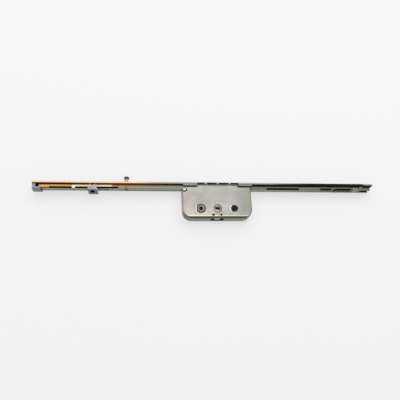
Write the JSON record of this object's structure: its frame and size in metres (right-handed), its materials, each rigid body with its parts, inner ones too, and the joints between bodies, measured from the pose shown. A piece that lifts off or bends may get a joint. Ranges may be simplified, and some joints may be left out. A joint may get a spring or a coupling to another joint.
{
  "type": "multipoint door lock",
  "caption": "Centre gear unit of a multipoint door lock: a square follower drives rods and a locking cam behind a faceplate rail.",
  "frame": {"origin": "on the axis of the spindle square, at half the thickness of the case", "axes": "+X along the rail, +Y towards the front of the faceplate, +Z out of the case cover"},
  "size_m": [0.444, 0.0568, 0.016],
  "materials": {
    "plated_steel": "zinc-plated strip steel, satin, with a pale yellow and orange passivation tint",
    "case_steel": "zinc-plated pressed sheet, satin",
    "zinc_casting": "die-cast zinc, matt",
    "turned_steel": "turned and plated, bright",
    "cam_steel": "hardened steel, dark yellow-brown passivation",
    "bush_bronze": "sintered bronze, oiled",
    "spring_steel": "rolled spring steel"
  },
  "bodies": {
    "housing": {"faceplate": "plated_steel", "case_base": "case_steel", "case_cover": "case_steel", "handle_sleeve_left": "turned_steel", "handle_sleeve_right": "turned_steel", "follower_bush_cover": "bush_bronze", "follower_bush_base": "bush_bronze", "idler_pin": "turned_steel", "corner_rivet": "turned_steel", "spring_holder": "spring_steel", "detent_spring": "spring_steel", "guide_block": "zinc_casting", "end_guide_block": "zinc_casting", "guide_stud": "turned_steel"},
    "follower": {"follower": "zinc_casting"},
    "idler": {"idler_gear": "zinc_casting"},
    "rods": {"rack_slide": "plated_steel", "drive_rod_left": "plated_steel", "drive_rod_right": "plated_steel", "drive_rod_tail": "plated_steel", "rod_coupler": "plated_steel", "rod_rivets": "turned_steel", "cam_stud": "turned_steel"},
    "cam": {"locking_cam": "cam_steel"}
  },
  "joints": [
    {"name": "follower_turn", "type": "hinge", "parent": "housing", "child": "follower", "pos_m": [0, 0, 0], "axis": [0, 0, -1], "range_deg": [0, 90], "deforming": ["detent_spring"]},
    {"name": "idler_turn", "type": "hinge", "parent": "housing", "child": "idler", "pos_m": [0, 0.01875, 0], "axis": [0, 0, -1], "range_deg": [-135, 0]},
    {"name": "rod_slide", "type": "slide", "parent": "housing", "child": "rods", "axis": [-1, 0, 0], "range_m": [0, 0.0177]},
    {"name": "cam_adjust", "type": "hinge", "parent": "rods", "child": "cam", "pos_m": [-0.1152, 0.035, 0], "axis": [0, 1, 0], "continuous": true}
  ],
  "couplings": [
    {"joint": "idler_turn", "follows": "follower_turn", "ratio": -1.5},
    {"joint": "rod_slide", "follows": "follower_turn", "m_per_rad": 0.01125}
  ]
}
